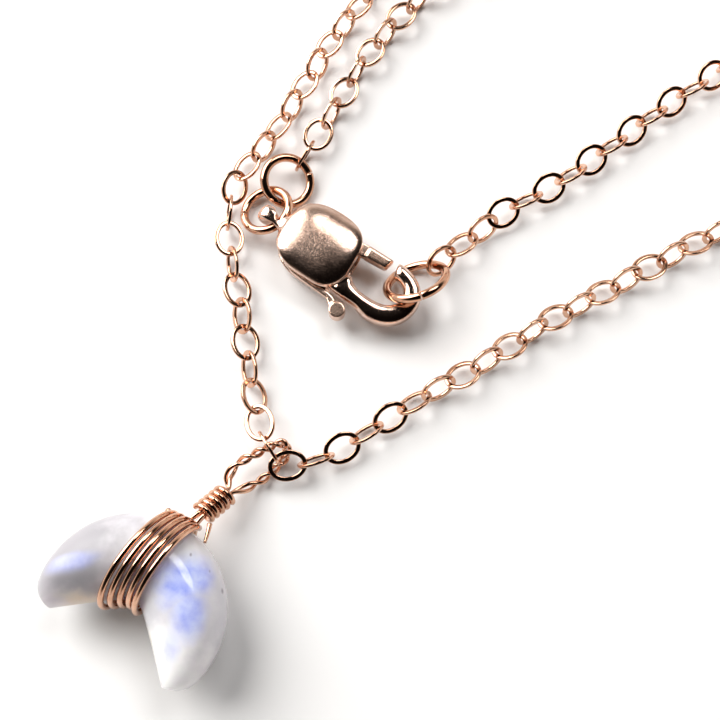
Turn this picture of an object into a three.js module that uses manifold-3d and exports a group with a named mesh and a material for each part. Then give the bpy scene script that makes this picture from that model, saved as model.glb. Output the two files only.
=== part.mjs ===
// A moonstone crescent pendant, wrapped in rose gold wire, on an 18 inch flat cable chain that closes with
// a lobster clasp. The necklace lies on a flat surface at z = 0. Units are millimetres and +Z is up.
//
// The chain is one closed loop: clasp ring, chain ring, left half of the chain, right half, tail ring, and
// back to the clasp's hook. The bail of the pendant is threaded through one link between the two halves.
// Links that meet a fitting, or lie near the pendant, are separate pieces. The rest of the chain is a plain
// cord: a tube where it runs freely, and one flat ring where its spare length is wound up and tied.
import * as THREE from "three";
import { mergeVertices } from "three/addons/utils/BufferGeometryUtils.js";
import Module from "manifold-3d";

const wasm = await Module();
wasm.setup();

// ---- driving dimensions -------------------------------------------------------------------------------

// One link: an oval of flattened wire.
const LINK = { length: 2.34, width: 1.86, face: 0.26, thickness: 0.2 };
const LINK_PITCH = 1.7; // centre to centre, with about 0.06 mm of play
const CHAIN_HEIGHT = 0.95; // the chain's centre line above the surface

// Jump rings of round wire.
const RING_WIRE = 0.56;
const RING_RADIUS = 1.5; // to the centre of the wire
const TAIL_RING_RADIUS = 1.87;

// Lobster clasp, in its own frame: x from the lug to the hook, y towards the gate, z up.
const CLASP_AT = [-2.2, 10.1];
const CLASP_ANGLE = -34;
const CASE = { bottom: 0.12, top: 2.62, round: 0.6 };
const HOOK = { bottom: 0.78, top: 2.02, round: 0.32 };
const SLOT = { bottom: 0.9, top: 1.84 };
const LEVER = { bottom: 1.28, top: 1.72 };
const GATE = { bottom: 0.98, top: 1.78 };
const PIVOT = [3.5, 0.2];
const PIN_HEIGHT = 1.95;
const PIN_RADIUS = 0.34;
const PIN_CLEARANCE = 0.05;
const LUG = { height: 1.5, centre: 1.46, length: 1.9, hole: 0.5 };

// Moonstone crescent: a round outline with a wedge-shaped notch in it, and blunt horns.
const STONE = {
  at: [-8.6, -14.0, 2.85],
  axis: 57, // from the bite towards the bail, in degrees from +X
  outer: 5.35,
  notch: { tip: 0.55, slope: 0.85, round: 0.35 }, // tip from the centre, lean of its sides, softness of its tip
  thickness: 4.4,
  horn: 111, // each horn ends this many degrees round from the axis
  hornSide: 3.8, // the inner corner of each horn, from the axis
  blunt: 0.08, // share of each half that rounds off into the horn's end
};

// Wires of the pendant.
const WRAP_WIRE = 0.36;
const WRAP_TURNS = 5;
const STRAND_WIRE = 0.25;
const STRAND_OFFSET = 0.18; // each strand's centre from the centre of the twisted pair

// ---- colours ------------------------------------------------------------------------------------------

const roseGold = { color: 0xd9977a, roughness: 0.16, metalness: 1 };
const satinGold = { color: 0xb98263, roughness: 0.34, metalness: 1 };
const springSteel = { color: 0x9a9a9a, roughness: 0.3, metalness: 1 };
const milkyStone = { color: 0xe9ecf6, roughness: 0.08, metalness: 0 };
const cottonTie = { color: 0xf2efe8, roughness: 0.9, metalness: 0 };

const necklace = new THREE.Group();

function addPiece(name, geometry, look, group = necklace) {
  const mesh = new THREE.Mesh(geometry, new THREE.MeshStandardMaterial(look));
  mesh.name = name;
  group.add(mesh);
  return mesh;
}

// ---- helpers ------------------------------------------------------------------------------------------

const radians = THREE.MathUtils.degToRad;

function solidOf(geometry) {
  const bare = geometry.index ? geometry.toNonIndexed() : geometry.clone();
  bare.deleteAttribute("normal");
  bare.deleteAttribute("uv");
  const merged = mergeVertices(bare, 1e-4);
  const vertProperties = merged.attributes.position.array;
  const triVerts = new Uint32Array(merged.index.array);
  return new wasm.Manifold(new wasm.Mesh({ numProp: 3, vertProperties, triVerts }));
}

function geometryOf(solid) {
  const mesh = solid.getMesh();
  const geometry = new THREE.BufferGeometry();
  geometry.setAttribute("position", new THREE.BufferAttribute(mesh.vertProperties, 3));
  geometry.setIndex(new THREE.BufferAttribute(mesh.triVerts, 1));
  return geometry;
}

// A round wire along a curve.
function wireAlong(curve, diameter, steps, sides = 6) {
  const section = new THREE.Shape();
  for (let i = 0; i < sides; i++) {
    const turn = (2 * Math.PI * (i + 0.5)) / sides;
    const x = (diameter / 2) * Math.cos(turn);
    const y = (diameter / 2) * Math.sin(turn);
    if (i === 0) section.moveTo(x, y);
    else section.lineTo(x, y);
  }
  section.closePath();
  return new THREE.ExtrudeGeometry(section, { steps, extrudePath: curve, bevelEnabled: false });
}

// A plate with rounded edges, from z = bottom to z = top, whose outline is the outline given.
function roundedPlate(outline, { bottom, top, round }, roundSegments = 3) {
  const geometry = new THREE.ExtrudeGeometry(outline, {
    depth: top - bottom - 2 * round,
    bevelThickness: round,
    bevelSize: round,
    bevelOffset: -round,
    bevelSegments: roundSegments,
    curveSegments: 6,
  });
  return geometry.translate(0, 0, bottom + round);
}

function flatPlate(outline, bottom, top) {
  const options = { depth: top - bottom, bevelEnabled: false, curveSegments: 6 };
  return new THREE.ExtrudeGeometry(outline, options).translate(0, 0, bottom);
}

function polygon(points) {
  return new THREE.Shape(points.map(([x, y]) => new THREE.Vector2(x, y)));
}

// ---- links --------------------------------------------------------------------------------------------

function linkGeometry() {
  const oval = new THREE.Shape();
  oval.absellipse(0, 0, LINK.length / 2, LINK.width / 2, 0, 2 * Math.PI);
  const hole = new THREE.Path();
  const half = { x: LINK.length / 2 - LINK.face, y: LINK.width / 2 - LINK.face };
  hole.absellipse(0, 0, half.x, half.y, 0, 2 * Math.PI, true);
  oval.holes.push(hole);
  const options = { depth: LINK.thickness, bevelEnabled: false, curveSegments: 9 };
  return new THREE.ExtrudeGeometry(oval, options).translate(0, 0, -LINK.thickness / 2);
}

// A link centred at a point, its length along a direction, rolled about that direction from lying flat.
function addLink(name, at, direction, roll) {
  const link = addPiece(name, linkGeometry(), roseGold);
  const along = direction.clone().normalize();
  const across = new THREE.Vector3(-along.y, along.x, 0).normalize();
  const upward = new THREE.Vector3().crossVectors(along, across);
  link.quaternion.setFromRotationMatrix(new THREE.Matrix4().makeBasis(along, across, upward));
  link.rotateX(radians(roll));
  link.position.copy(at);
}

// Links at an even pitch along a route. Neighbours are rolled a quarter turn apart, more or less, so that
// they pass through each other.
function addLinks(prefix, points, rolls) {
  const curve = new THREE.CatmullRomCurve3(points.map(flatPoint), false, "centripetal");
  const length = curve.getLength();
  rolls.forEach((roll, i) => {
    const along = (i * LINK_PITCH) / length;
    const name = `${prefix}_${String(i + 1).padStart(2, "0")}`;
    addLink(name, curve.getPointAt(along), curve.getTangentAt(along), roll);
  });
}

const flatPoint = ([x, y, z = CHAIN_HEIGHT]) => new THREE.Vector3(x, y, z);

// Each route starts at its first link's centre, and runs at least as far as its last link.
const LEFT_END_ROUTE = [[0.5, 14.08], [1.35, 15.6], [2.3, 17.3], [3.3, 19.1]];
const RIGHT_END_ROUTE = [[9.04, 6.97, 1.05], [10.3, 8.05], [11.6, 9.05], [13.2, 10.2]];
const DROP_ROUTE = [
  [-3.17, 13.36], [-3.88, 11.88, 1.08], [-4.2, 10.2, 1.0], [-4.15, 8.5], [-3.9, 6.8], [-3.55, 5.1],
  [-3.2, 3.4], [-2.95, 1.7], [-2.65, 0.0], [-2.32, -1.65], [-1.95, -3.25, 1.08], [-1.35, -4.75, 1.3],
];
const BAIL_LINK = { at: [-1.35, -4.75, 1.3], heading: -58, roll: 90 };
const RIGHT_ROUTE = [
  [-0.25, -5.76, 1.08], [1.32, -5.45, 1.0], [2.85, -4.75], [4.3, -3.85], [5.7, -2.95], [7.1, -2.05],
  [8.5, -1.2], [10.0, -0.4], [11.4, 0.45], [12.8, 1.35], [14.5, 2.4],
];

addLinks("left_end_link", LEFT_END_ROUTE, [102, 14, 80]);
addLinks("right_end_link", RIGHT_END_ROUTE, [50, -35, 58]);
addLinks("drop_link", DROP_ROUTE, [28, -42, 75, -12, 66, -28, 50, -26, 58, -42, 12]);
addLinks("right_link", RIGHT_ROUTE, [14, -68, 22, -60, 35, -50, 60, -26, 60, -26]);
const bailHeading = new THREE.Vector3(
  Math.cos(radians(BAIL_LINK.heading)),
  Math.sin(radians(BAIL_LINK.heading)),
  0,
);
addLink("bail_link", flatPoint(BAIL_LINK.at), bailHeading, BAIL_LINK.roll);

// ---- jump rings ---------------------------------------------------------------------------------------

// A ring centred at a point. It is tilted about the level line at a heading: the side on that line's left
// goes up.
function ringPlacement(heading, tilt) {
  const turn = new THREE.Quaternion().setFromAxisAngle(new THREE.Vector3(0, 0, 1), radians(heading));
  const lean = new THREE.Quaternion().setFromAxisAngle(new THREE.Vector3(1, 0, 0), radians(tilt));
  return turn.multiply(lean);
}

function addRing(name, { at, radius, heading, tilt }) {
  const ring = addPiece(name, new THREE.TorusGeometry(radius, RING_WIRE / 2, 8, 28), roseGold);
  ring.position.set(...at);
  ring.quaternion.copy(ringPlacement(heading, tilt));
}

const CHAIN_RING = { at: [-0.6, 12.35, 0.92], radius: RING_RADIUS, heading: 57, tilt: 22 };
const CLASP_RING = { at: [-1.88, 10.38, 0.92], radius: RING_RADIUS, heading: 57, tilt: -22 };
const TAIL_RING = { at: [7.43, 5.43, 1.65], radius: TAIL_RING_RADIUS, heading: 26, tilt: -45 };
addRing("chain_ring", CHAIN_RING);
addRing("clasp_ring", CLASP_RING);
addRing("tail_ring", TAIL_RING);

// ---- clasp --------------------------------------------------------------------------------------------

const clasp = new THREE.Group();
clasp.position.set(...CLASP_AT, 0);
clasp.rotation.z = radians(CLASP_ANGLE);
necklace.add(clasp);

function caseOutline() {
  const outline = new THREE.Shape();
  outline.moveTo(1.9, -0.95);
  outline.quadraticCurveTo(2.6, -2.15, 4.2, -2.2);
  outline.lineTo(5.5, -2.2);
  outline.quadraticCurveTo(6.95, -2.1, 6.95, -0.6);
  outline.lineTo(6.85, 0.8);
  outline.quadraticCurveTo(6.75, 2.45, 4.6, 2.5);
  outline.quadraticCurveTo(2.6, 2.5, 1.9, 1.15);
  outline.closePath();
  return outline;
}

// The fixed claw: from the case round the end to the nose that the gate closes against.
function hookOutline() {
  const outline = new THREE.Shape();
  outline.moveTo(6.1, -1.9);
  outline.lineTo(8.3, -1.95);
  outline.lineTo(9.2, -2.2);
  outline.bezierCurveTo(10.9, -2.2, 11.7, -1.0, 11.6, 0.2);
  outline.bezierCurveTo(11.5, 1.4, 10.4, 1.95, 9.05, 1.95);
  outline.lineTo(9.22, 1.0);
  outline.bezierCurveTo(10.1, 0.95, 10.5, 0.5, 10.45, 0.0);
  outline.bezierCurveTo(10.35, -0.7, 9.8, -0.95, 8.9, -0.95);
  outline.quadraticCurveTo(7.6, -1.0, 7.2, -0.45);
  outline.lineTo(6.1, -0.45);
  outline.closePath();
  return outline;
}

// The lug is a tab on edge. The ring passes through its hole from one flat side to the other.
function lugGeometry() {
  const side = new THREE.Shape();
  const half = LUG.height / 2;
  side.moveTo(LUG.length + 0.6, -half);
  side.lineTo(half * 0.8, -half);
  side.quadraticCurveTo(0, -half, 0, 0);
  side.quadraticCurveTo(0, half, half * 0.8, half);
  side.lineTo(LUG.length + 0.6, half);
  side.closePath();
  const tab = roundedPlate(side, { bottom: -0.55, top: 0.55, round: 0.15 }, 1);
  return tab.rotateX(Math.PI / 2).translate(0, 0, LUG.centre);
}

// Room for the clasp ring and for its swing, cut from the lug and the case.
function ringChannels() {
  const channels = [];
  for (const swing of [-12, 0, 12]) {
    const cutter = new THREE.TorusGeometry(CLASP_RING.radius, LUG.hole, 8, 28);
    cutter.applyQuaternion(ringPlacement(CLASP_RING.heading, CLASP_RING.tilt + swing));
    cutter.translate(...CLASP_RING.at);
    cutter.translate(-CLASP_AT[0], -CLASP_AT[1], 0);
    cutter.rotateZ(radians(-CLASP_ANGLE));
    channels.push(solidOf(cutter));
  }
  return channels;
}

// The space inside the case in which the lever turns. It is open along the thumb side and at the gate.
function slotOutline() {
  return polygon([
    [1.9, -3.2], [2.1, -1.3], [2.45, -0.7], [2.45, 0.9], [3.1, 1.6], [6.0, 1.95], [7.4, 2.6],
    [7.4, -0.3], [6.15, -0.3], [6.15, -1.8], [7.2, -1.95], [7.2, -3.2],
  ]);
}

function claspBodyGeometry() {
  let body = solidOf(roundedPlate(caseOutline(), CASE, 4));
  body = body.add(solidOf(roundedPlate(hookOutline(), HOOK, 3)));
  body = body.add(solidOf(lugGeometry()));
  body = body.subtract(solidOf(flatPlate(slotOutline(), SLOT.bottom, SLOT.top)));
  for (const channel of ringChannels()) {
    body = body.subtract(channel);
  }
  const bore = new THREE.CylinderGeometry(PIN_RADIUS + PIN_CLEARANCE, PIN_RADIUS + PIN_CLEARANCE, 2.2, 24);
  bore.rotateX(Math.PI / 2).translate(PIVOT[0], PIVOT[1], 1.05);
  return geometryOf(body.subtract(solidOf(bore)));
}
addPiece("clasp_body", claspBodyGeometry(), satinGold, clasp);

// The lever is one plate: a thumb arm outside the case, an eye round the pin, and the gate.
function leverGeometry() {
  const plate = polygon([
    [7.35, -2.35], [6.9, -2.12], [6.1, -2.0], [5.2, -1.9], [4.5, -1.4], [4.35, -0.4], [4.7, 0.2],
    [5.7, 0.62], [7.1, 1.0], [7.1, 1.82], [6.85, 1.82], [5.4, 1.6], [4.1, 1.25], [3.2, 1.1],
    [2.78, 0.75], [2.65, 0.1], [2.8, -0.5], [2.75, -1.5], [3.15, -1.95], [3.9, -2.25], [5.2, -2.35],
    [6.6, -2.42], [7.1, -2.8],
  ]);
  let lever = solidOf(flatPlate(plate, LEVER.bottom, LEVER.top));
  const gate = polygon([[7.04, 1.0], [8.5, 1.1], [8.62, 1.22], [8.74, 1.86], [7.04, 1.86]]);
  const gateRound = { bottom: GATE.bottom, top: GATE.top, round: 0.12 };
  lever = lever.add(solidOf(roundedPlate(gate, gateRound, 1)));
  const knob = new THREE.CylinderGeometry(0.52, 0.52, 0.9, 16);
  knob.rotateX(Math.PI / 2).translate(7.62, -2.72, 1.45);
  lever = lever.add(solidOf(knob));
  const eye = new THREE.CylinderGeometry(PIN_RADIUS + PIN_CLEARANCE, PIN_RADIUS + PIN_CLEARANCE, 1.2, 24);
  eye.rotateX(Math.PI / 2).translate(PIVOT[0], PIVOT[1], 1.5);
  return geometryOf(lever.subtract(solidOf(eye)));
}
addPiece("clasp_lever", leverGeometry(), roseGold, clasp);

const pinGeometry = new THREE.CylinderGeometry(PIN_RADIUS, PIN_RADIUS, PIN_HEIGHT, 24);
const pin = addPiece("clasp_pin", pinGeometry, satinGold, clasp);
pin.rotation.x = Math.PI / 2;
pin.position.set(...PIVOT, 1.12);

// A light coil round the pin, under the lever. One leg bears on the case and the other on the lever.
function springCurve() {
  const points = [new THREE.Vector3(PIVOT[0] - 0.6, -0.6, 1.0)];
  const turns = 1.5;
  const start = radians(-150);
  for (let i = 0; i <= 18; i++) {
    const turn = start + (2 * Math.PI * turns * i) / 18;
    const x = PIVOT[0] + 0.52 * Math.cos(turn);
    const y = PIVOT[1] + 0.52 * Math.sin(turn);
    points.push(new THREE.Vector3(x, y, 0.99 + 0.13 * (i / 18)));
  }
  points.push(new THREE.Vector3(PIVOT[0] + 1.3, 0.45, 1.13));
  return new THREE.CatmullRomCurve3(points, false, "centripetal");
}
addPiece("clasp_spring", wireAlong(springCurve(), 0.11, 40), springSteel, clasp);

// ---- moonstone ----------------------------------------------------------------------------------------

// The notch's edge: how far along the axis it lies, at a distance to the side of the axis.
function notchEdge(side) {
  const { tip, slope, round } = STONE.notch;
  return tip + round - Math.hypot(round, slope * side);
}

// The crescent as sections from the notch to the outline, from one horn (-1) to the other (1).
function crescentSection(part) {
  const angle = radians(STONE.horn) * part;
  const side = STONE.hornSide * Math.sin((Math.PI / 2) * part);
  const outer = new THREE.Vector3(STONE.outer * Math.cos(angle), STONE.outer * Math.sin(angle), 0);
  const inner = new THREE.Vector3(notchEdge(side), side, 0);
  const width = outer.distanceTo(inner);
  const past = Math.max((Math.abs(part) - 1 + STONE.blunt) / STONE.blunt, 0);
  const closing = Math.max(Math.sqrt(Math.max(1 - past ** 2, 0)), 0.3);
  return { outer, inner, width, closing };
}

// A straight round bar, reshaped so that each of its sections becomes one of the crescent. They lie closer
// together towards the horns' ends.
function crescentGeometry() {
  const bar = new THREE.LineCurve3(new THREE.Vector3(0, 0, 0), new THREE.Vector3(1, 0, 0));
  const geometry = wireAlong(bar, 1, 30, 14);
  const position = geometry.attributes.position;
  const widest = crescentSection(0).width;
  for (let i = 0; i < position.count; i++) {
    const part = Math.sin(Math.PI * (0.5 - position.getX(i)));
    const { outer, inner, width, closing } = crescentSection(part);
    const puff = STONE.thickness * Math.pow(width / widest, 0.55) * closing;
    const across = 0.5 + position.getY(i) * closing;
    const point = inner.clone().lerp(outer, across);
    position.setXYZ(i, point.x, point.y, position.getZ(i) * puff);
  }
  return geometry;
}

const pendant = new THREE.Group();
pendant.position.set(...STONE.at);
pendant.rotation.z = radians(STONE.axis);
necklace.add(pendant);
addPiece("moonstone", crescentGeometry(), milkyStone, pendant);

// ---- pendant wires, in the stone's frame: x along its axis towards the bail -----------------------------

// The wrap goes round the waist of the crescent, and its turns spread over the front.
function wrapCurve() {
  const clearance = WRAP_WIRE / 2 + 0.2;
  const points = [];
  const perTurn = 12;
  for (let i = 0; i <= WRAP_TURNS * perTurn; i++) {
    const turn = (2 * Math.PI * i) / perTurn;
    const index = i / perTurn;
    const front = Math.max(0, Math.sin(turn));
    const back = Math.max(0, -Math.sin(turn));
    const pitch = 0.4 + 0.05 * front;
    const side = -0.55 + pitch * index + 0.25 * front - 0.1 * back;
    const outer = Math.sqrt(STONE.outer ** 2 - side ** 2);
    const inner = notchEdge(side);
    const middle = (outer + inner) / 2;
    const reach = (outer - inner) / 2 + clearance;
    const height = STONE.thickness / 2 + clearance;
    points.push(
      new THREE.Vector3(middle + reach * Math.cos(turn), side, height * Math.sin(turn)),
    );
  }
  return new THREE.CatmullRomCurve3(points, false, "centripetal");
}
addPiece("stone_wrap_wire", wireAlong(wrapCurve(), WRAP_WIRE, 100), roseGold, pendant);

// ---- bail, in the necklace's frame ---------------------------------------------------------------------

const NECK = { from: [-5.2, -8.9, 2.35], to: [-3.55, -7.3, 1.35] };
const NECK_TURNS = 4.5;
const LEG_GAP = 0.16; // half the distance between the bail's two legs inside the neck

const neckFrom = new THREE.Vector3(...NECK.from);
const neckTo = new THREE.Vector3(...NECK.to);
const neckAlong = neckTo.clone().sub(neckFrom).normalize();
const neckSide = new THREE.Vector3(0, 0, 1).cross(neckAlong).normalize();
const neckUp = neckAlong.clone().cross(neckSide);

function neckPoint(along, side, up) {
  return neckFrom.clone()
    .addScaledVector(neckAlong, along)
    .addScaledVector(neckSide, side)
    .addScaledVector(neckUp, up);
}

// The bail's centre line: up one leg, round the loop through the bail link, and back down the other leg.
const neckLength = neckFrom.distanceTo(neckTo);
const BAIL_ROUTE = [
  neckPoint(0.1, LEG_GAP, 0),
  neckPoint(neckLength, LEG_GAP, 0),
  new THREE.Vector3(-3.7, -6.45, 1.2),
  new THREE.Vector3(-3.2, -5.7, 1.2),
  new THREE.Vector3(-2.3, -5.2, 1.27),
  new THREE.Vector3(-1.35, -4.7, 1.3),
  new THREE.Vector3(-0.5, -4.45, 1.0),
  new THREE.Vector3(-0.35, -5.0, 0.5),
  new THREE.Vector3(-0.95, -5.75, 0.36),
  new THREE.Vector3(-1.9, -6.6, 0.5),
  new THREE.Vector3(-2.75, -7.1, 0.95),
  neckPoint(neckLength, -LEG_GAP, 0),
  neckPoint(0.1, -LEG_GAP, 0),
];

// One of the two strands, turned round the centre line except inside the neck.
class TwistedStrand extends THREE.Curve {
  constructor(route, twists, phase) {
    super();
    this.centre = new THREE.CatmullRomCurve3(route, false, "centripetal");
    this.twists = twists;
    this.phase = phase;
  }
  getPoint(t, target = new THREE.Vector3()) {
    const tangent = this.centre.getTangentAt(t);
    const side = new THREE.Vector3(0, 0, 1).cross(tangent).normalize();
    const up = tangent.clone().cross(side);
    const twisted = THREE.MathUtils.smoothstep(t, 0.18, 0.82);
    const turn = this.phase + 2 * Math.PI * this.twists * twisted;
    return target
      .copy(this.centre.getPointAt(t))
      .addScaledVector(side, STRAND_OFFSET * Math.cos(turn))
      .addScaledVector(up, STRAND_OFFSET * Math.sin(turn));
  }
}
const BAIL_TWISTS = 5;
const strandCurves = [90, 270].map((phase) => new TwistedStrand(BAIL_ROUTE, BAIL_TWISTS, radians(phase)));
addPiece("bail_strand_a", wireAlong(strandCurves[0], STRAND_WIRE, 72), roseGold);
addPiece("bail_strand_b", wireAlong(strandCurves[1], STRAND_WIRE, 72), roseGold);

// The wrap round the neck holds the bail's legs together.
function neckWrapCurve() {
  const points = [];
  const radius = 0.58;
  for (let i = 0; i <= NECK_TURNS * 12; i++) {
    const turn = (2 * Math.PI * i) / 12;
    const along = 0.35 + (0.4 * i) / 12;
    points.push(neckPoint(along, radius * Math.cos(turn), radius * Math.sin(turn)));
  }
  return new THREE.CatmullRomCurve3(points, false, "centripetal");
}
addPiece("neck_wrap_wire", wireAlong(neckWrapCurve(), WRAP_WIRE, 64), roseGold);

const tailCurve = new THREE.CatmullRomCurve3([
  neckPoint(0.1, -0.8, 0.45),
  neckPoint(-0.4, -1.15, 0.5),
  neckPoint(-0.9, -1.45, 0.55),
]);
addPiece("wire_tail", wireAlong(tailCurve, 0.3, 4), roseGold);

// ---- the rest of the chain: one plain cord on each side -------------------------------------------------

const CORD = { diameter: 1.86, step: 4.2 };

// Hand-laid routes of the stretches that run freely.
const LEFT_CORD_START = [[2.95, 18.5], [3.9, 20.25], [5.8, 23.0], [7.6, 25.1], [9.4, 26.9]];
const LEFT_CORD_END = [
  [5.7, 31.2, 1.7], [5.6, 29.6, 1.25], [5.35, 28.3, 1.0], [4.9, 27.0], [4.1, 25.1], [2.4, 22.7], [0.7, 19.6],
  [-0.9, 16.7], [-1.95, 15.0],
];
const RIGHT_CORD_START = [
  [14.25, 2.3], [15.7, 3.2], [18.7, 4.8], [21.6, 6.4], [24.6, 8.0], [26.6, 9.0], [28.4, 9.6],
];
const RIGHT_CORD_END = [
  [28.4, 20.85], [26.6, 19.5], [24.0, 17.75], [20.5, 15.1], [16.5, 12.2], [12.95, 10.15],
];

function addCord(name, points) {
  const curve = new THREE.CatmullRomCurve3(points.map(flatPoint), false, "centripetal");
  const steps = Math.round(curve.getLength() / CORD.step) + 1;
  addPiece(name, wireAlong(curve, CORD.diameter, steps, 8), roseGold);
}

// The spare length is wound in two layers and tied. The coil is one plain ring, notched below for the tie.
const COIL = { outer: 10.6, inner: 6.2, bottom: 0.04, top: 3.8 };
const TIE = { width: 1.4, thickness: 0.25, gap: 0.25 };

function coilGeometry() {
  const { outer, inner, bottom, top } = COIL;
  const profile = [[inner, bottom], [outer, bottom], [outer, top], [inner, top], [inner, bottom]];
  const ring = new THREE.LatheGeometry(profile.map(([r, z]) => new THREE.Vector2(r, z)), 40);
  ring.rotateX(Math.PI / 2);
  const notchHeight = 2 * (bottom + TIE.thickness + TIE.gap);
  const notch = new THREE.BoxGeometry(2 * (outer - inner), TIE.width + 2 * TIE.gap, notchHeight);
  notch.translate((outer + inner) / 2, 0, 0);
  return geometryOf(solidOf(ring).subtract(solidOf(notch)));
}

function tieGeometry() {
  const { outer, inner, bottom, top } = COIL;
  const { width, thickness, gap } = TIE;
  const rectangle = (path, grow, low) => {
    path.moveTo(inner - grow, low);
    path.lineTo(outer + grow, low);
    path.lineTo(outer + grow, top + grow);
    path.lineTo(inner - grow, top + grow);
    path.closePath();
    return path;
  };
  const band = rectangle(new THREE.Shape(), gap + thickness, bottom);
  band.holes.push(rectangle(new THREE.Path(), gap, bottom + thickness));
  const geometry = new THREE.ExtrudeGeometry(band, { depth: width, bevelEnabled: false });
  return geometry.translate(0, 0, -width / 2).rotateX(Math.PI / 2);
}

function addCoil(side, at, tieAngle) {
  const coil = new THREE.Group();
  coil.position.set(...at, 0);
  coil.rotation.z = radians(tieAngle);
  necklace.add(coil);
  addPiece(`${side}_coil`, coilGeometry(), roseGold, coil);
  addPiece(`${side}_tie`, tieGeometry(), cottonTie, coil);
}

addCord("left_cord_start", LEFT_CORD_START);
addCord("left_cord_end", LEFT_CORD_END);
addCoil("left", [15.4, 38.2], 60);
addCord("right_cord_start", RIGHT_CORD_START);
addCord("right_cord_end", RIGHT_CORD_END);
addCoil("right", [39.6, 17.2], 20);

export default necklace;
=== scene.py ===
# A moonstone crescent pendant, wrapped in rose gold wire, on a flat cable chain with a lobster clasp.
# Every piece is built here in metres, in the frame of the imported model, and rides on one of its bodies.
import math
import random

import bmesh
import bpy
import numpy as np
from mathutils import Matrix, Quaternion, Vector


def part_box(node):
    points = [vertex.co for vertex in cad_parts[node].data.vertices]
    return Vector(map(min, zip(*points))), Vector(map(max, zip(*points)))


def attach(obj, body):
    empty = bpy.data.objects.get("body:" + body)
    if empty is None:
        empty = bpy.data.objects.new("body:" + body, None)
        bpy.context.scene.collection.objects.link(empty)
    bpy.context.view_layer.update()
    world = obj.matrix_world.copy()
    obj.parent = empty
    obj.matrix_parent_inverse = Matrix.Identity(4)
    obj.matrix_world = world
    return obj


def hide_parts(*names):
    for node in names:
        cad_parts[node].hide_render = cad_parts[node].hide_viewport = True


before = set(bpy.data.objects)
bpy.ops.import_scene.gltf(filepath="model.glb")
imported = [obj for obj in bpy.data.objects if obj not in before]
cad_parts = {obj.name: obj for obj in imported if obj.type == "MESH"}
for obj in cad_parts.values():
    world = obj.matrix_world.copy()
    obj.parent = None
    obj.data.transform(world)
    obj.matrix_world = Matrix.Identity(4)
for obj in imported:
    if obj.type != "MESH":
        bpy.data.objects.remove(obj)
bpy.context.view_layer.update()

MM = 0.001

# ---- camera, lights and surface ------------------------------------------------------------------------

VIEW_TARGET = Vector((4.0, 0.7, 0.8)) * MM
VIEW_ELEVATION = 76
VIEW_DISTANCE = 59.945 * MM
FIELD_OF_VIEW = 40


def add_camera():
    camera = bpy.data.objects.new("camera", bpy.data.cameras.new("camera"))
    bpy.context.scene.collection.objects.link(camera)
    camera.data.angle = math.radians(FIELD_OF_VIEW)
    camera.data.clip_start = 1 * MM
    camera.data.clip_end = 1000 * MM
    rise = math.radians(VIEW_ELEVATION)
    back = Vector((0, -math.cos(rise), math.sin(rise)))
    camera.location = VIEW_TARGET + back * VIEW_DISTANCE
    camera.rotation_euler = back.to_track_quat("Z", "Y").to_euler()
    bpy.context.scene.camera = camera


def add_light(name, towards, distance, size, radiance, colour=(1, 1, 1)):
    # A soft panel that faces the necklace; its power follows from how bright its face is.
    width, height = size
    light = bpy.data.objects.new(name, bpy.data.lights.new(name, "AREA"))
    bpy.context.scene.collection.objects.link(light)
    light.data.shape = "ELLIPSE"
    light.data.size = width * MM
    light.data.size_y = height * MM
    area = math.pi / 4 * width * height * MM * MM
    light.data.energy = radiance * math.pi * area
    light.data.color = colour
    way = Vector(towards).normalized()
    light.location = VIEW_TARGET + way * distance * MM
    light.rotation_euler = way.to_track_quat("Z", "Y").to_euler()


DARK_SIDE = Vector((0.15, -0.25, 0.955)).normalized()
# The room's tone by how closely a direction faces the dark side: 0 is square to it, 1 is straight at it.
ROOM_TONES = [
    (0.0, (0.8, 0.78, 0.76, 1)),
    (0.18, (1.0, 0.97, 0.94, 1)),
    (0.36, (0.35, 0.31, 0.28, 1)),
    (0.46, (0.03, 0.025, 0.02, 1)),
    (0.75, (0.004, 0.003, 0.003, 1)),
]


def add_world():
    # A pale room under a dark ceiling, so that level metal faces look dark and their rims bright.
    world = bpy.data.worlds.new("room")
    bpy.context.scene.world = world
    world.use_nodes = True
    nodes, links = world.node_tree.nodes, world.node_tree.links
    place = nodes.new("ShaderNodeTexCoord")
    facing = nodes.new("ShaderNodeVectorMath")
    facing.operation = "DOT_PRODUCT"
    facing.inputs[1].default_value = DARK_SIDE
    ramp = nodes.new("ShaderNodeValToRGB")
    links.new(place.outputs["Generated"], facing.inputs[0])
    links.new(facing.outputs["Value"], ramp.inputs["Fac"])
    links.new(ramp.outputs["Color"], nodes["Background"].inputs["Color"])
    nodes["Background"].inputs["Strength"].default_value = 1.0
    stops = ramp.color_ramp.elements
    stops[0].position, stops[0].color = ROOM_TONES[0]
    stops[1].position, stops[1].color = ROOM_TONES[-1]
    for position, colour in ROOM_TONES[1:-1]:
        stop = stops.new(position)
        stop.color = colour


def add_floor():
    bpy.ops.mesh.primitive_plane_add(size=900 * MM)
    floor = bpy.context.object
    floor.name = "surface"
    floor.data.materials.append(paper_material())


# ---- materials -----------------------------------------------------------------------------------------


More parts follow.
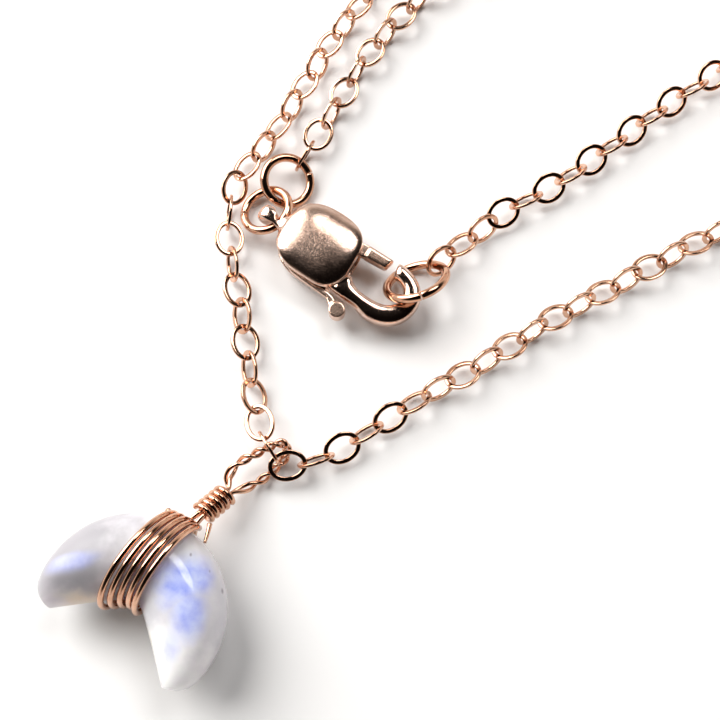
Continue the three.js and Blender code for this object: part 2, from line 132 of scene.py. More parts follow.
class Look:
    """A material built from nodes; each method adds one link in its chain."""

    def __init__(self, name):
        self.material = bpy.data.materials.new(name)
        self.material.use_nodes = True
        self.nodes = self.material.node_tree.nodes
        self.links = self.material.node_tree.links
        self.shader = self.nodes["Principled BSDF"]
        coordinates = self.nodes.new("ShaderNodeTexCoord")
        self.place = coordinates.outputs["Object"]

    def set(self, **values):
        for name, value in values.items():
            self.shader.inputs[name.replace("_", " ")].default_value = value
        return self

    def noise(self, feature, detail=4, stretch=(1, 1, 1), seed=0.0):
        # feature is the size of the noise's spots, in millimetres.
        mapping = self.nodes.new("ShaderNodeMapping")
        mapping.inputs["Scale"].default_value = stretch
        mapping.inputs["Location"].default_value = (seed, seed, seed)
        texture = self.nodes.new("ShaderNodeTexNoise")
        texture.inputs["Scale"].default_value = 1 / (feature * MM)
        texture.inputs["Detail"].default_value = detail
        self.links.new(self.place, mapping.inputs["Vector"])
        self.links.new(mapping.outputs["Vector"], texture.inputs["Vector"])
        return texture.outputs["Fac"]

    def ramp(self, value, stops):
        node = self.nodes.new("ShaderNodeValToRGB")
        elements = node.color_ramp.elements
        while len(elements) < len(stops):
            elements.new(0.5)
        for element, (position, colour) in zip(elements, stops):
            element.position = position
            element.color = colour if len(colour) == 4 else (*colour, 1)
        self.links.new(value, node.inputs["Fac"])
        return node.outputs["Color"]

    def scaled(self, value, low, high):
        node = self.nodes.new("ShaderNodeMapRange")
        node.inputs["From Min"].default_value = 0.3
        node.inputs["From Max"].default_value = 0.7
        node.inputs["To Min"].default_value = low
        node.inputs["To Max"].default_value = high
        self.links.new(value, node.inputs["Value"])
        return node.outputs["Result"]

    def mix(self, amount, first, second):
        node = self.nodes.new("ShaderNodeMix")
        node.data_type = "RGBA"
        self.feed(amount, node.inputs[0])
        colour_inputs = [i for i in node.inputs if i.type == "RGBA"]
        for socket, value in zip(colour_inputs, (first, second)):
            self.feed(value, socket)
        return [o for o in node.outputs if o.type == "RGBA"][0]

    def feed(self, value, socket):
        if isinstance(value, bpy.types.NodeSocket):
            self.links.new(value, socket)
        elif socket.type == "RGBA":
            socket.default_value = (*value, 1)[:4]
        elif socket.type == "VALUE" and not isinstance(value, tuple):
            socket.default_value = value

    def math(self, operation, *values):
        node = self.nodes.new("ShaderNodeMath")
        node.operation = operation
        for value, socket in zip(values, node.inputs):
            self.feed(value, socket)
        return node.outputs["Value"]

    def pointiness(self):
        return self.nodes.new("ShaderNodeNewGeometry").outputs["Pointiness"]

    def patches(self, areas, place, turned, ragged=0.35):
        # A soft mask that is 1 inside any area, with a cloudy edge. An area has a middle, half sizes, a turn
        # about z and a strength, in the frame of the place matrix, which is turned by that many degrees.
        cloud = self.noise(1.1, detail=3, seed=5.0)
        total = None
        for middle, halves, turn, strength in areas:
            mapping = self.nodes.new("ShaderNodeMapping")
            mapping.vector_type = "TEXTURE"
            mapping.inputs["Location"].default_value = place @ (Vector(middle) * MM)
            mapping.inputs["Rotation"].default_value = (0, 0, math.radians(turned + turn))
            mapping.inputs["Scale"].default_value = Vector(halves) * MM
            self.links.new(self.place, mapping.inputs["Vector"])
            length = self.nodes.new("ShaderNodeVectorMath")
            length.operation = "LENGTH"
            self.links.new(mapping.outputs["Vector"], length.inputs[0])
            rough = self.math("MULTIPLY_ADD", cloud, ragged * 2, length.outputs["Value"])
            fade = self.nodes.new("ShaderNodeMapRange")
            fade.interpolation_type = "SMOOTHSTEP"
            fade.inputs["From Min"].default_value = 1.15 + ragged
            fade.inputs["From Max"].default_value = 0.35 + ragged
            fade.inputs["To Max"].default_value = strength
            self.links.new(rough, fade.inputs["Value"])
            mask = fade.outputs["Result"]
            total = self.math("MAXIMUM", total, mask) if total else mask
        return total

    def bump(self, *layers):
        # Each layer is a height and its depth in millimetres.
        normal = None
        for height, depth in layers:
            node = self.nodes.new("ShaderNodeBump")
            node.inputs["Strength"].default_value = 1
            node.inputs["Distance"].default_value = depth * MM
            self.links.new(height, node.inputs["Height"])
            if normal:
                self.links.new(normal, node.inputs["Normal"])
            normal = node.outputs["Normal"]
        self.links.new(normal, self.shader.inputs["Normal"])
        return self

    def use(self, value, name):
        self.links.new(value, self.shader.inputs[name])
        return self


def gold_material(name, deep, pale, roughness, wear=0.25):
    # Polished plate: its tone drifts a little, it is cleaner on its edges, and it has fine rubbed scratches.
    look = Look(name).set(Metallic=1.0)
    drift = look.noise(1.3, detail=3)
    tone = look.ramp(drift, [(0.32, deep), (0.68, pale)])
    edge = look.ramp(look.pointiness(), [(0.5, (0, 0, 0)), (0.6, (wear, wear, wear))])
    edged = look.mix(edge, tone, (0.98, 0.80, 0.68))
    look.use(edged, "Base Color")
    rubbed = look.noise(0.12, detail=6, stretch=(1, 6, 1), seed=3.1)
    look.use(look.scaled(rubbed, roughness * 0.7, roughness * 1.5), "Roughness")
    return look.bump((rubbed, 0.0012), (look.noise(0.5, detail=2, seed=1.7), 0.004)).material


SATIN_AREA = ((4.3, 0.1, 1.6), (3.4, 3.1, 3.0), 0, 1.0)  # the case, in the clasp's frame


def clasp_material():
    # Cast and tumbled: the case is satin with fine pits, and the hook is polished by wear.
    look = Look("rose_gold_cast").set(Metallic=1.0)
    tone = look.ramp(look.noise(1.6, detail=4), [(0.32, (0.60, 0.40, 0.31)), (0.68, (0.78, 0.56, 0.45))])
    edge = look.ramp(look.pointiness(), [(0.5, (0, 0, 0)), (0.62, (0.35, 0.35, 0.35))])
    look.use(look.mix(edge, tone, (0.98, 0.82, 0.72)), "Base Color")
    pits = look.noise(0.11, detail=6, seed=3.1)
    case = look.patches([SATIN_AREA], clasp_matrix(), CLASP_ANGLE, ragged=0.1)
    satin = look.scaled(pits, 0.17, 0.30)
    polished = look.scaled(pits, 0.07, 0.13)
    spread = look.math("MULTIPLY_ADD", case, look.math("SUBTRACT", satin, polished), polished)
    look.use(spread, "Roughness")
    grain = look.noise(0.05, detail=3, seed=8.0)
    return look.bump((pits, 0.004), (grain, 0.0015), (look.noise(0.9, detail=2), 0.01)).material


def paper_material():
    look = Look("pale_paper").set(Roughness=0.6)
    grain = look.noise(0.35, detail=5)
    tone = look.ramp(look.noise(14.0, detail=2), [(0.3, (0.90, 0.89, 0.885)), (0.7, (0.93, 0.925, 0.92))])
    look.use(tone, "Base Color")
    return look.bump((grain, 0.006)).material


def cotton_material():
    look = Look("cotton_band").set(Roughness=0.9, Sheen_Weight=0.4)
    weave = look.noise(0.22, detail=3, stretch=(1, 1, 3))
    look.use(look.ramp(weave, [(0.3, (0.78, 0.76, 0.72)), (0.7, (0.95, 0.94, 0.91))]), "Base Color")
    return look.bump((weave, 0.05)).material


def steel_material():
    look = Look("spring_wire").set(Metallic=1.0)
    drawn = look.noise(0.1, detail=4, stretch=(1, 1, 8))
    look.use(look.ramp(drawn, [(0.3, (0.42, 0.42, 0.43)), (0.7, (0.62, 0.62, 0.63))]), "Base Color")
    look.use(look.scaled(drawn, 0.22, 0.4), "Roughness")
    return look.bump((drawn, 0.002)).material


# ---- shapes --------------------------------------------------------------------------------------------


def add_piece(name, bm, material, body, slot, *nodes, smooth=True):
    mesh = bpy.data.meshes.new(name)
    bmesh.ops.recalc_face_normals(bm, faces=bm.faces)
    bm.to_mesh(mesh)
    bm.free()
    for polygon in mesh.polygons:
        polygon.use_smooth = smooth
    mesh.materials.append(material)
    piece = bpy.data.objects.new(name, mesh)
    bpy.context.scene.collection.objects.link(piece)
    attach(piece, body)
    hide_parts(*nodes)
    return piece


def catmull(points, per_span=12):
    # A smooth line through points: a centripetal Catmull-Rom curve.
    points = [Vector(p) for p in points]
    ends = [points[0] * 2 - points[1]] + points + [points[-1] * 2 - points[-2]]
    line = []
    for p0, p1, p2, p3 in zip(ends, ends[1:], ends[2:], ends[3:]):
        t1 = max((p1 - p0).length ** 0.5, 1e-6)
        t2 = t1 + max((p2 - p1).length ** 0.5, 1e-6)
        t3 = t2 + max((p3 - p2).length ** 0.5, 1e-6)
        for i in range(per_span):
            t = t1 + (t2 - t1) * i / per_span
            a1 = p0.lerp(p1, t / t1)
            a2 = p1.lerp(p2, (t - t1) / (t2 - t1))
            a3 = p2.lerp(p3, (t - t2) / (t3 - t2))
            b1 = a1.lerp(a2, t / t2)
            b2 = a2.lerp(a3, (t - t1) / (t3 - t1))
            line.append(b1.lerp(b2, (t - t1) / (t2 - t1)))
    return line + [points[-1]]


def sweep(bm, line, radius, sides=14):
    # A round wire along a line. radius is a number, or a function of the place along it from 0 to 1.
    tangent = [(b - a).normalized() for a, b in zip([line[0]] + line[:-1], line[1:] + [line[-1]])]
    side = tangent[0].orthogonal().normalized()
    rings = []
    for i, (point, along) in enumerate(zip(line, tangent)):
        side = (side - along * side.dot(along)).normalized()
        up = along.cross(side)
        thick = radius(i / (len(line) - 1)) if callable(radius) else radius
        ring = []
        for k in range(sides):
            turn = 2 * math.pi * k / sides
            ring.append(bm.verts.new(point + (side * math.cos(turn) + up * math.sin(turn)) * thick))
        rings.append(ring)
    for a, b in zip(rings, rings[1:]):
        for k in range(sides):
            bm.faces.new((a[k], a[(k + 1) % sides], b[(k + 1) % sides], b[k]))
    for ring, way in ((rings[0], -1), (rings[-1], 1)):
        bm.faces.new(ring[::way])


def node_points(node):
    return np.array([v.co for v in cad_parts[node].data.vertices])


def principal_axes(node):
    # A CAD node's middle, and its axes from the longest to the shortest.
    points = node_points(node)
    middle = (points.max(axis=0) + points.min(axis=0)) / 2
    axes = np.linalg.eigh(np.cov((points - points.mean(axis=0)).T))[1]
    return Vector(middle), [Vector(axes[:, k]) for k in (2, 1, 0)]


# ---- chain links ---------------------------------------------------------------------------------------

LINK_LENGTH, LINK_WIDTH, LINK_FACE, LINK_THICKNESS = 2.34 * MM, 1.86 * MM, 0.28 * MM, 0.2 * MM
LINK_PITCH = 1.7 * MM
CHAIN_HEIGHT = 0.95
SOLDER_SPREAD = 0.35  # how far round the link its soldered joint is swollen, in radians


def add_link(bm, matrix, seed=0, steps=44, sides=12):
    # Flattened wire bent into an oval: level faces, rounded edges and a faint swelling where it is soldered.
    chance = random.Random(seed)
    solder = chance.uniform(-0.3, 0.3)
    outer = (LINK_LENGTH / 2, LINK_WIDTH / 2)
    inner = (outer[0] - LINK_FACE, outer[1] - LINK_FACE)
    section = []
    for k in range(sides):
        turn = 2 * math.pi * (k + 0.5) / sides
        across = math.copysign(abs(math.cos(turn)) ** 0.4, math.cos(turn))
        height = math.copysign(abs(math.sin(turn)) ** 0.4, math.sin(turn))
        section.append((across, height * (1 - 0.08 * across * across)))
    rings = []
    for i in range(steps):
        turn = 2 * math.pi * i / steps
        out = Vector((outer[0] * math.cos(turn), outer[1] * math.sin(turn), 0))
        into = Vector((inner[0] * math.cos(turn), inner[1] * math.sin(turn), 0))
        middle, half = (out + into) / 2, (out - into) / 2
        away = (turn - solder + math.pi) % (2 * math.pi) - math.pi
        swell = 1 + 0.04 * math.exp(-((away / SOLDER_SPREAD) ** 2))
        up = Vector((0, 0, LINK_THICKNESS / 2))
        rings.append([bm.verts.new(matrix @ (middle + half * a + up * h * swell)) for a, h in section])
    for a, b in zip(rings, rings[1:] + rings[:1]):
        for k in range(sides):
            bm.faces.new((a[k], a[(k + 1) % sides], b[(k + 1) % sides], b[k]))


def link_matrix(at, along, roll):
    along = along.normalized()
    across = Vector((-along.y, along.x, 0)).normalized()
    upward = along.cross(across)
    turned = Quaternion(along, math.radians(roll)).to_matrix()
    basis = turned @ Matrix((along, across, upward)).transposed()
    return Matrix.Translation(at) @ basis.to_4x4()


def build_links(material):
    # A separate link takes its place and its roll from its CAD node.
    names = [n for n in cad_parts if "link" in n]
    for seed, node in enumerate(sorted(names)):
        middle, (along, across, upward) = principal_axes(node)
        basis = Matrix((along, across, along.cross(across))).transposed().to_4x4()
        bm = bmesh.new()
        add_link(bm, Matrix.Translation(middle) @ basis, seed)
        add_piece(f"{node}_metal", bm, material, node, "rose_gold", node)


# ---- plain chain: one cord on each side ----------------------------------------------------------------

# Routes of the stretches that run freely, in millimetres, as in the model.
LEFT_CORD_START = [(2.95, 18.5), (3.9, 20.25), (5.8, 23.0), (7.6, 25.1), (9.4, 26.9)]
LEFT_CORD_END = [
    (5.7, 31.2, 1.7), (5.6, 29.6, 1.25), (5.35, 28.3, 1.0), (4.9, 27.0), (4.1, 25.1),
    (2.4, 22.7), (0.7, 19.6), (-0.9, 16.7), (-1.95, 15.0),
]
RIGHT_CORD_START = [
    (14.25, 2.3), (15.7, 3.2), (18.7, 4.8), (21.6, 6.4), (24.6, 8.0), (26.6, 9.0), (28.4, 9.6),
]
RIGHT_CORD_END = [(28.4, 20.85), (26.6, 19.5), (24.0, 17.75), (20.5, 15.1), (16.5, 12.2), (12.95, 10.15)]

COIL_OUTER_TURN = 9.67
COIL_TURN_GAP = 1.87  # from one turn to the next one beside it
COIL_LAYER = 1.88  # height of the upper layer above the lower one


def coil_points(node, first_angle, last_angle, turns):
    # Wound in from the outside, up at the inner turn, and out again on top, round the CAD ring's middle.
    low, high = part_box(node)
    middle = (low + high) / 2 / MM
    sweep_angle = last_angle - first_angle + 360 * turns
    inner_turn = COIL_OUTER_TURN - COIL_TURN_GAP * sweep_angle / 720
    count = round(sweep_angle / 22.5)
    points = []
    for i in range(count + 1):
        part = i / count
        turn = math.radians(first_angle + sweep_angle * part)
        radius = inner_turn + (COIL_OUTER_TURN - inner_turn) * abs(2 * part - 1)
        rise = min(max((part - 0.46) / 0.08, 0), 1)
        height = CHAIN_HEIGHT + COIL_LAYER * rise
        points.append((middle.x + radius * math.cos(turn), middle.y + radius * math.sin(turn), height))
    return points


def chain_line(points):
    tall = [(p[0], p[1], p[2] if len(p) > 2 else CHAIN_HEIGHT) for p in points]
    return catmull([Vector(p) * MM for p in tall], per_span=10)


def measured(line):
    return np.concatenate([[0], np.cumsum([(b - a).length for a, b in zip(line, line[1:])])])


def point_along(line, lengths, distance):
    index = min(max(int(np.searchsorted(lengths, distance)), 1), len(line) - 1)
    share = (distance - lengths[index - 1]) / (lengths[index] - lengths[index - 1])
    along = (line[index] - line[index - 1]).normalized()
    return line[index - 1].lerp(line[index], share), along


def build_cord(name, points, before, after, rolls, material, nodes):
    # The chain runs from the separate link before it to the separate link after it, at an even pitch.
    start, end = (principal_axes(link)[0] for link in (before, after))
    line = chain_line([tuple(start / MM)] + points + [tuple(end / MM)])
    lengths = measured(line)
    spaces = 2 * round((lengths[-1] / LINK_PITCH - 1) / 2) + 1
    pitch = lengths[-1] / spaces
    chance = random.Random(name)
    bm = bmesh.new()
    for i in range(spaces - 1):
        at, along = point_along(line, lengths, (i + 1) * pitch)
        drift = rolls[0] + (rolls[1] - rolls[0]) * i / spaces
        roll = drift + (90 if i % 2 == rolls[2] else 0) + chance.uniform(-7, 7)
        add_link(bm, link_matrix(at, along, roll), seed=i)
    piece = add_piece(name, bm, material, "chain", "chain_bundle", *nodes)
    return piece


def build_cords(material):
    build_cord(
        "left_chain", LEFT_CORD_START + coil_points("left_coil", -95, 180, 2) + LEFT_CORD_END,
        "left_end_link_03", "drop_link_01", (-10, 28, 1), material,
        ["left_cord_start", "left_coil", "left_cord_end"],
    )
    build_cord(
        "right_chain", RIGHT_CORD_START + coil_points("right_coil", -90, 120, 2) + RIGHT_CORD_END,
        "right_link_10", "right_end_link_03", (-26, -32, 0), material,
        ["right_cord_start", "right_coil", "right_cord_end"],
    )


# ---- jump rings ----------------------------------------------------------------------------------------

RING_CUT = 0.035 * MM
RING_EASE = 0.97  # keeps a round wire inside the facets of its CAD ring


def build_ring(node, cut_towards, material):
    # Round wire bent into a ring, closed but not soldered: the cut shows as a hairline.
    middle, (_, _, normal) = principal_axes(node)
    points = node_points(node) - np.array(middle)
    flat = points - np.outer(points @ np.array(normal), np.array(normal))
    reach = np.linalg.norm(flat, axis=1)
    radius, wire = (reach.max() + reach.min()) / 2, (reach.max() - reach.min()) / 2
    first = Vector(cut_towards)
    first = (first - normal * first.dot(normal)).normalized()
    second = normal.cross(first)
    gap = RING_CUT / radius
    line = []
    for i in range(97):
        turn = gap / 2 + (2 * math.pi - gap) * i / 96
        line.append(middle + (first * math.cos(turn) + second * math.sin(turn)) * radius)
    bm = bmesh.new()
    sweep(bm, line, wire * RING_EASE, sides=20)
    add_piece(f"{node}_metal", bm, material, node, "rose_gold", node)


# ---- clasp ---------------------------------------------------------------------------------------------

CLASP_AT = Vector((-2.2, 10.1, 0)) * MM
CLASP_ANGLE = -34


def refine_cad(node, material, voxel, rounds):
    # The CAD node stays. Its facets are evened out by modifiers, and it takes a real finish.
    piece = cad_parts[node]
    piece.data.materials.clear()
    piece.data.materials.append(material)
    for polygon in piece.data.polygons:
        polygon.use_smooth = True
    remesh = piece.modifiers.new("even_mesh", "REMESH")
    remesh.mode = "VOXEL"
    remesh.voxel_size = voxel * MM
    remesh.use_smooth_shade = True
    smooth = piece.modifiers.new("soften", "SMOOTH")
    smooth.factor = 0.5
    smooth.iterations = rounds


CASE_MIDDLE, CASE_HALF = (4.45, 0.15), (2.66, 2.38)
CASE_RIM, CASE_TOP = 2.0, 2.7  # heights at which the dome starts and ends
CASE_SPAN = (1.85, 7.02)
CASE_ENDS = (2.1, 6.75)  # beyond these the lug and the hook keep their own height
FITTING_TOP = 2.05
BORE_AT, BORE_REACH, BORE_END = (3.5, 0.2), 0.6, 2.3  # the pin's bore ends inside, below the dome
CASE_ROUNDS, FITTING_ROUNDS = 12, 70  # rounds of smoothing: the hook and the lug are much rounder


def clasp_matrix():
    return Matrix.Translation(CLASP_AT) @ Matrix.Rotation(math.radians(CLASP_ANGLE), 4, "Z")


def evened(node, voxel):
    # A CAD node's shape as an even mesh of small faces.
    scratch = bpy.data.objects.new("scratch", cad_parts[node].data.copy())
    bpy.context.scene.collection.objects.link(scratch)
    remesh = scratch.modifiers.new("even_mesh", "REMESH")
    remesh.mode = "VOXEL"
    remesh.voxel_size = voxel * MM
    mesh = bpy.data.meshes.new_from_object(scratch.evaluated_get(bpy.context.evaluated_depsgraph_get()))
    bpy.data.objects.remove(scratch)
    bm = bmesh.new()
    bm.from_mesh(mesh)
    bpy.data.meshes.remove(mesh)
    return bm


def dome_height(x, y):
    # The top of the case over a place in the clasp's frame: a long vault that starts at the case's own rim.
    lengthwise = abs((x - CASE_MIDDLE[0]) / CASE_HALF[0])
    crosswise = abs((y - CASE_MIDDLE[1]) / CASE_HALF[1])
    away = lengthwise ** 4.0 + crosswise ** 2.0
    top = CASE_RIM + (CASE_TOP - CASE_RIM) * math.sqrt(max(1 - away, 0))
    beyond = x < CASE_ENDS[0] and abs(y) < 0.9 or x > CASE_ENDS[1]
    return max(top, FITTING_TOP) if beyond else top


def build_clasp_body(material):
    bm = evened("clasp_body", 0.05)
    place = clasp_matrix()
    back = place.inverted()
    for vertex in bm.verts:
        at = (back @ vertex.co) / MM
        in_bore = at.z < BORE_END and max(abs(at.x - BORE_AT[0]), abs(at.y - BORE_AT[1])) < BORE_REACH
        if CASE_SPAN[0] < at.x < CASE_SPAN[1] and at.z > CASE_RIM and not in_bore:
            at.z = dome_height(at.x, at.y)
            vertex.co = place @ (at * MM)
    fittings = [v for v in bm.verts if not CASE_ENDS[0] < (back @ v.co).x / MM < CASE_ENDS[1] + 0.6]
    every_way = {"use_axis_x": True, "use_axis_y": True, "use_axis_z": True}
    for verts, rounds in ((bm.verts, CASE_ROUNDS), (fittings, FITTING_ROUNDS)):
        for _ in range(rounds):
            bmesh.ops.smooth_vert(bm, verts=verts, factor=0.5, **every_way)
    add_piece("clasp_case", bm, material, "clasp", "satin_rose_gold", "clasp_body")


def build_clasp(satin, bright, steel):
    build_clasp_body(satin)
    refine_cad("clasp_lever", bright, 0.035, 30)
    refine_cad("clasp_pin", bright, 0.04, 2)
    refine_cad("clasp_spring", steel, 0.02, 1)


# ---- moonstone -----------------------------------------------------------------------------------------

# The crescent's outline, as in the model: a circle with a wedge-shaped notch and blunt horns.
STONE_OUTER = 5.35
NOTCH_TIP, NOTCH_SLOPE, NOTCH_ROUND = 0.55, 0.85, 0.35
STONE_THICKNESS = 4.4
STONE_HORN = 111
HORN_SIDE = 3.8
HORN_BLUNT = 0.08
STONE_AXIS = 57
STONE_AT = Vector((-8.6, -14.0, 2.85)) * MM


def stone_matrix():
    return Matrix.Translation(STONE_AT) @ Matrix.Rotation(math.radians(STONE_AXIS), 4, "Z")


def notch_edge(side):
    return NOTCH_TIP + NOTCH_ROUND - math.hypot(NOTCH_ROUND, NOTCH_SLOPE * side)


def build_stone(material):
    # Sections of a plump oval run from the notch to the outline, from one horn to the other.
    bm = bmesh.new()
    steps, sides = 140, 48
    widest = STONE_OUTER - NOTCH_TIP
    rings = []
    for i in range(steps + 1):
        part = math.sin(math.pi * (i / steps - 0.5))
        angle, side = math.radians(STONE_HORN) * part, HORN_SIDE * math.sin(math.pi / 2 * part)
        outer = Vector((STONE_OUTER * math.cos(angle), STONE_OUTER * math.sin(angle), 0))
        inner = Vector((notch_edge(side), side, 0))
        width = (outer - inner).length
        past = max((abs(part) - 1 + HORN_BLUNT) / HORN_BLUNT, 0)
        closing = math.sqrt(max(1 - past ** 2.4, 0.0))
        puff = STONE_THICKNESS * (width / widest) ** 0.55 * closing
        ring = []
        for k in range(sides):
            turn = 2 * math.pi * k / sides
            across = 0.5 + 0.5 * math.cos(turn) * max(closing, 0.02)
            place = inner.lerp(outer, across) + Vector((0, 0, puff / 2 * math.sin(turn)))
            ring.append(bm.verts.new(stone_matrix() @ (place * MM)))
        rings.append(ring)
    for a, b in zip(rings, rings[1:]):
        for k in range(sides):
            bm.faces.new((a[k], b[k], b[(k + 1) % sides], a[(k + 1) % sides]))
    bm.faces.new(rings[0])
    bm.faces.new(rings[-1][::-1])
    piece = add_piece("moonstone_crescent", bm, material, "pendant", "moonstone", "moonstone")
    relax = piece.modifiers.new("polish", "SMOOTH")
    relax.factor = 0.5
    relax.iterations = 10


# Areas of the stone, in its own frame and in millimetres: middle, half sizes, turn about z and strength.
# Painted sheen: the moonstone's blue flash, which comes and goes with the angle of light and view, painted
# into the colour at fixed places.
PAINTED_SHEEN_PATCHES = [
    ((0.6, 3.7, 1.7), (1.9, 0.6, 1.7), 137, 0.55),
    ((3.1, -1.9, 2.0), (2.0, 1.5, 1.8), -20, 1.0),
    ((1.8, -3.0, 1.7), (1.9, 1.1, 1.8), 30, 0.9),
    ((0.2, -3.2, 1.2), (2.0, 0.8, 1.6), 15, 0.6),
]
# Painted light: near white on the right horn and on the left lobe by the notch, the sides that face away
# from the key, standing in for light glowing through the stone.
PAINTED_LIGHT_PATCHES = [
    ((-1.4, -3.4, 1.0), (3.6, 2.6, 3.4), -20, 0.95),
    ((-1.6, 2.6, 0.4), (1.8, 2.6, 2.2), 30, 0.6),
]
# Painted shade: a dark grey laid on the outer rim of the left horn, where the key light's reflection would
# otherwise burn it white.
PAINTED_SHADE_PATCHES = [((0.9, 4.6, 1.3), (5.4, 4.2, 4.2), 0, 1.0)]
POLISHED_PATCHES = [((2.4, -3.4, 1.6), (6.0, 5.8, 5.0), 0, 1.0)]
WARM_PATCHES = [
    ((-0.9, 2.4, 0.2), (1.8, 1.2, 1.6), 100, 0.55),
    ((-0.9, -1.6, 0.0), (1.4, 0.9, 1.6), 60, 0.5),
]
# Each inclusion has a place and a size.
INCLUSIONS = [
    ((4.3, -1.3, 1.6), 0.16),
    ((4.1, -2.6, 1.2), 0.13),
    ((3.6, -3.7, 0.7), 0.22),
    ((0.1, 3.2, 1.5), 0.08),
]


def stone_material():
    # Milky feldspar: clouded, with a painted blue sheen in patches, painted shade on the outer rim of the
    # left horn, painted light on the parts that face away from the key, warm thin parts and a few dark
    # inclusions.
    look = Look("moonstone_glow").set(
        IOR=1.53, Subsurface_Weight=0.9, Subsurface_Scale=2.6 * MM,
    )
    look.shader.inputs["Subsurface Radius"].default_value = (1.0, 0.9, 1.0)
    frame_of_stone = (stone_matrix(), STONE_AXIS)
    milk = look.ramp(
        look.noise(2.2, detail=4),
        [(0.30, (0.60, 0.59, 0.63)), (0.50, (0.68, 0.67, 0.70)), (0.70, (0.76, 0.75, 0.77))],
    )
    gleam = look.patches(POLISHED_PATCHES, *frame_of_stone, ragged=0.1)
    look.use(look.math("MULTIPLY_ADD", gleam, -0.38, 0.44), "Roughness")
    # Painted shade: the milky colour turns dark grey over the outer rim of the left horn.
    painted_shade = look.mix(look.patches(PAINTED_SHADE_PATCHES, *frame_of_stone), milk, (0.34, 0.33, 0.35))
    # Painted light: near white laid over the parts that face away from the key.
    clear = look.mix(look.patches(PAINTED_LIGHT_PATCHES, *frame_of_stone), painted_shade, (0.97, 0.95, 0.95))
    warm = look.mix(look.patches(WARM_PATCHES, *frame_of_stone), clear, (0.92, 0.80, 0.58))
    # Painted sheen: a cloudy blue laid over the stone's colour in patches.
    clouding = look.noise(0.9, detail=4, seed=9.0)
    blue = look.ramp(clouding, [(0.36, (0.34, 0.40, 0.86)), (0.62, (0.58, 0.64, 0.96))])
    painted_sheen = look.mix(look.patches(PAINTED_SHEEN_PATCHES, *frame_of_stone, ragged=0.22), warm, blue)
    dark_spots = [(at, (size, size * 0.6, size), 30, 0.6) for at, size in INCLUSIONS]
    specks = look.patches(dark_spots, *frame_of_stone)
    look.use(look.mix(specks, painted_sheen, (0.13, 0.10, 0.14)), "Base Color")
    swells = look.noise(2.5, detail=2, seed=2.0)
    ripples = look.noise(0.5, detail=3, seed=4.0)
    return look.bump((swells, 0.05), (ripples, 0.004)).material


# ---- pendant wires -------------------------------------------------------------------------------------

WRAP_RADIUS = 0.18
STRAND_RADIUS = 0.125
STRAND_OFFSET = 0.18
WRAP_TURNS = 5
BAIL_TWISTS = 5


def build_stone_wrap(material):
    # Five turns round the crescent's waist, tight on the stone.
    clearance = WRAP_RADIUS + 0.2
    line = []
    for i in range(WRAP_TURNS * 40 + 1):
        turn = 2 * math.pi * i / 40
        index = i / 40
        front, back = max(0.0, math.sin(turn)), max(0.0, -math.sin(turn))
        side = -0.55 + (0.4 + 0.05 * front) * index + 0.25 * front - 0.1 * back
        outer = math.sqrt(STONE_OUTER ** 2 - side ** 2)
        inner = notch_edge(side)
        reach = (outer - inner) / 2 + clearance
        height = STONE_THICKNESS / 2 + clearance
        place = Vector(((outer + inner) / 2 + reach * math.cos(turn), side, height * math.sin(turn)))
        line.append(stone_matrix() @ (place * MM))
    bm = bmesh.new()
    sweep(bm, line, WRAP_RADIUS * MM)
    add_piece("stone_wrap", bm, material, "pendant", "rose_gold", "stone_wrap_wire")


NECK_FROM, NECK_TO = Vector((-5.2, -8.9, 2.35)), Vector((-3.55, -7.3, 1.35))
NECK_ALONG = (NECK_TO - NECK_FROM).normalized()
NECK_SIDE = Vector((0, 0, 1)).cross(NECK_ALONG).normalized()
NECK_UP = NECK_ALONG.cross(NECK_SIDE)
NECK_LENGTH = (NECK_TO - NECK_FROM).length
LEG_GAP = 0.16


def neck_point(along, side, up):
    return NECK_FROM + NECK_ALONG * along + NECK_SIDE * side + NECK_UP * up


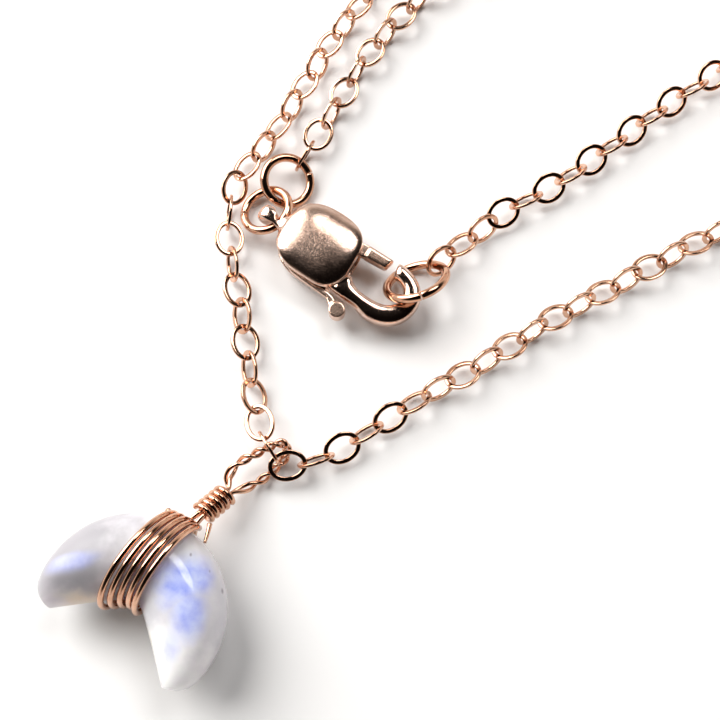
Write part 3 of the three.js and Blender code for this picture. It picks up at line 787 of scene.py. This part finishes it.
def build_bail(material):
    route = [
        neck_point(-0.85, 0.34, -0.45), neck_point(0.1, LEG_GAP, 0), neck_point(NECK_LENGTH, LEG_GAP, 0),
        Vector((-3.7, -6.45, 1.2)),
        Vector((-3.2, -5.7, 1.2)), Vector((-2.3, -5.2, 1.27)), Vector((-1.35, -4.7, 1.3)),
        Vector((-0.5, -4.45, 1.0)), Vector((-0.35, -5.0, 0.5)), Vector((-0.95, -5.75, 0.36)),
        Vector((-1.9, -6.6, 0.5)), Vector((-2.75, -7.1, 0.95)), neck_point(NECK_LENGTH, -LEG_GAP, 0),
        neck_point(0.1, -LEG_GAP, 0), neck_point(-0.85, -0.34, -0.45),
    ]
    centre = catmull([p * MM for p in route], per_span=14)
    lengths = measured(centre)
    for name, phase in (("a", 90), ("b", 270)):
        line = []
        for i in range(241):
            part = i / 240
            at, along = point_along(centre, lengths, part * lengths[-1])
            side = Vector((0, 0, 1)).cross(along).normalized()
            up = along.cross(side)
            eased = min(max((part - 0.18) / 0.64, 0), 1)
            eased = eased * eased * (3 - 2 * eased)
            turn = math.radians(phase) + 2 * math.pi * BAIL_TWISTS * eased
            line.append(at + (side * math.cos(turn) + up * math.sin(turn)) * STRAND_OFFSET * MM)
        bm = bmesh.new()
        sweep(bm, line, STRAND_RADIUS * MM, sides=12)
        add_piece(f"bail_wire_{name}", bm, material, "pendant", "rose_gold", f"bail_strand_{name}")


def build_neck_wrap(material):
    line = []
    for i in range(181):
        turn = 2 * math.pi * i / 40
        line.append(neck_point(0.35 + 0.4 * i / 40, 0.58 * math.cos(turn), 0.58 * math.sin(turn)) * MM)
    bm = bmesh.new()
    sweep(bm, line, WRAP_RADIUS * MM)
    add_piece("neck_wrap", bm, material, "pendant", "rose_gold", "neck_wrap_wire")
    tail = [neck_point(0.1, -0.8, 0.45), neck_point(-0.4, -1.15, 0.5), neck_point(-0.9, -1.45, 0.55)]
    bm = bmesh.new()
    sweep(bm, catmull([p * MM for p in tail], per_span=8), lambda part: (0.15 - 0.06 * part) * MM, sides=12)
    add_piece("wire_end", bm, material, "pendant", "rose_gold", "wire_tail")


# ---- ties ----------------------------------------------------------------------------------------------


def build_ties(material):
    for node in ("left_tie", "right_tie"):
        refine_cad(node, material, 0.08, 6)


# ---- scene ---------------------------------------------------------------------------------------------

add_camera()
rose = gold_material("rose_gold_bright", (0.54, 0.27, 0.16), (0.76, 0.45, 0.30), 0.10, wear=0.16)
satin = gold_material("rose_gold_satin", (0.60, 0.38, 0.28), (0.80, 0.56, 0.44), 0.2)
build_cords(rose)
build_links(rose)
build_ring("chain_ring", (1, 0.4, 0), rose)
build_ring("clasp_ring", (-1, 0, 0), rose)
build_ring("tail_ring", (0.3, -1, 0), rose)
build_clasp(clasp_material(), satin, steel_material())
build_stone(stone_material())
build_stone_wrap(rose)
build_bail(rose)
build_neck_wrap(rose)
build_ties(cotton_material())
add_world()
add_floor()
add_light("key", (-0.56, 0.50, 0.62), 500, (480, 480), 7.2, (1.0, 0.99, 0.97))
add_light("window", (0.30, 0.48, 0.82), 500, (320, 170), 6.5)
bpy.context.scene.view_settings.view_transform = "Standard"
